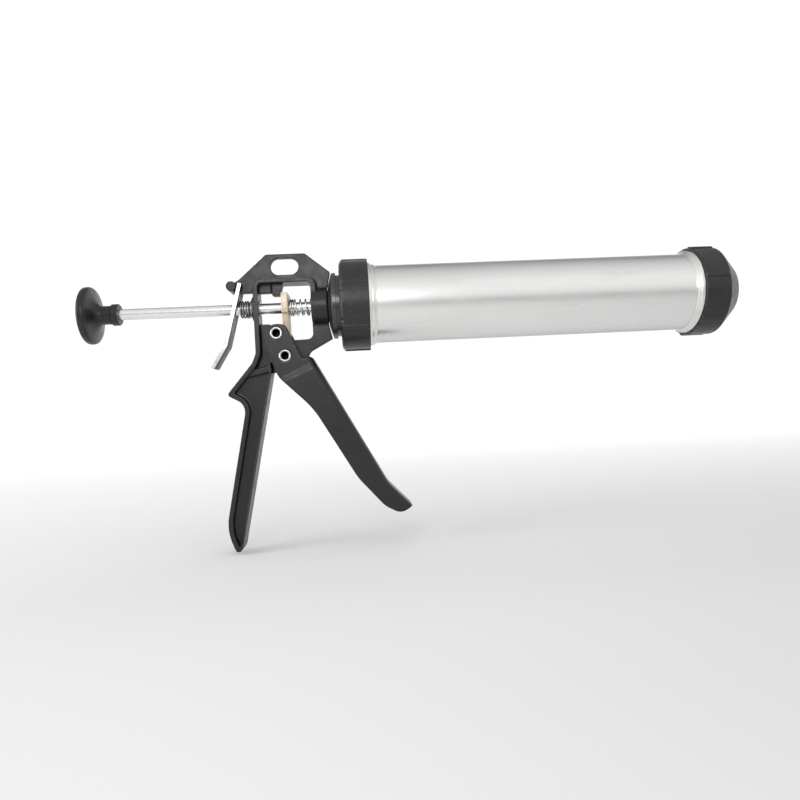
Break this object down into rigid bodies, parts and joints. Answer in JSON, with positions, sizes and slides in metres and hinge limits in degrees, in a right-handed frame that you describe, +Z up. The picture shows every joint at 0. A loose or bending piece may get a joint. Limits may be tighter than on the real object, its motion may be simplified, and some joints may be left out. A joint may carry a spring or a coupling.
{
  "type": "caulking gun",
  "caption": "Manual sealant gun with a swivelling aluminium barrel, screw-on end caps, push rod with pull knob, squeeze trigger and spring release lever.",
  "frame": {"origin": "centre of the nozzle opening on the outer face of the front cap", "axes": "+X forward along the push rod and barrel, out of the nozzle end; +Z up, the handle and trigger hang towards -Z; +Y to the left hand side seen from behind"},
  "size_m": [0.4475, 0.0618, 0.2008],
  "materials": {
    "frame_black": "satin black powder coat",
    "trigger_black": "satin black paint",
    "flange_black": "gloss black",
    "rivet_steel": "rolled steel",
    "zinc_steel": "zinc plated",
    "rod_zinc": "bright zinc plated",
    "lever_zinc": "zinc plated sheet",
    "drive_plate_steel": "yellow zinc passivated",
    "spring_steel_bright": "bright plated wire",
    "spring_steel_dark": "oiled spring wire",
    "knob_plastic": "satin moulded",
    "knob_cap_plastic": "satin moulded",
    "cap_plastic": "fine grained moulded",
    "seat_ring_plastic": "moulded",
    "seal_rubber": "moulded",
    "piston_plastic": "moulded",
    "barrel_aluminium": "fine brushed mill finish",
    "collar_aluminium": "turned"
  },
  "bodies": {
    "frame": {"frame_casting": "frame_black", "rear_rod_bush": "zinc_steel", "front_rod_bush": "zinc_steel", "drive_spring": "spring_steel_bright", "release_spring": "spring_steel_dark", "thrust_washer": "zinc_steel", "retaining_ring": "spring_steel_dark"},
    "trigger": {"trigger": "trigger_black", "trigger_pivot_rivet": "rivet_steel", "drive_pin_rivet": "rivet_steel"},
    "drive_plate": {"drive_plate": "drive_plate_steel"},
    "release_lever": {"release_lever": "lever_zinc"},
    "rod": {"push_rod": "rod_zinc", "pull_knob": "knob_plastic", "knob_end_cap": "knob_cap_plastic", "piston_back_washer": "zinc_steel", "piston_seal": "seal_rubber", "piston_disc": "piston_plastic", "piston_front_washer": "zinc_steel", "piston_nut": "zinc_steel"},
    "barrel": {"swivel_flange": "flange_black", "barrel_seat_plate": "zinc_steel", "seat_lock_nut": "zinc_steel", "barrel_tube": "barrel_aluminium", "rear_thread_collar": "collar_aluminium", "front_thread_collar": "collar_aluminium", "rear_cap": "cap_plastic"},
    "nozzle_ring": {"nozzle_seat_ring": "seat_ring_plastic"},
    "front_cap": {"front_cap": "cap_plastic"}
  },
  "joints": [
    {"name": "trigger_squeeze", "type": "hinge", "parent": "frame", "child": "trigger", "pos_m": [-0.3132, 0, -0.0335], "axis": [0, 1, 0], "range_deg": [0, 40], "stiffness_Nm_per_rad": 0.4, "springref_deg": -34.38},
    {"name": "drive_plate_slide", "type": "slide", "parent": "frame", "child": "drive_plate", "axis": [1, 0, 0], "range_m": [0, 0.0112], "deforming": ["drive_spring"]},
    {"name": "release_lever_tilt", "type": "hinge", "parent": "frame", "child": "release_lever", "pos_m": [-0.3436, 0, 0.015], "axis": [0, -1, 0], "range_deg": [0, 7], "stiffness_Nm_per_rad": 0.6, "springref_deg": -11.46, "deforming": ["release_spring"]},
    {"name": "rod_slide", "type": "slide", "parent": "frame", "child": "rod", "axis": [1, 0, 0], "range_m": [-0.154, 0.067]},
    {"name": "barrel_swivel", "type": "hinge", "parent": "frame", "child": "barrel", "pos_m": [-0.2775, 0, 0], "axis": [1, 0, 0], "continuous": true},
    {"name": "front_cap_advance", "type": "slide", "parent": "barrel", "child": "nozzle_ring", "axis": [1, 0, 0], "range_m": [0, 0.0161]},
    {"name": "front_cap_turn", "type": "hinge", "parent": "nozzle_ring", "child": "front_cap", "pos_m": [-0.0075, 0, 0], "axis": [1, 0, 0], "range_deg": [0, 1440]}
  ],
  "couplings": [
    {"joint": "drive_plate_slide", "follows": "trigger_squeeze", "m_per_rad": 0.01588},
    {"joint": "front_cap_advance", "follows": "front_cap_turn", "m_per_rad": 0.00063662}
  ]
}
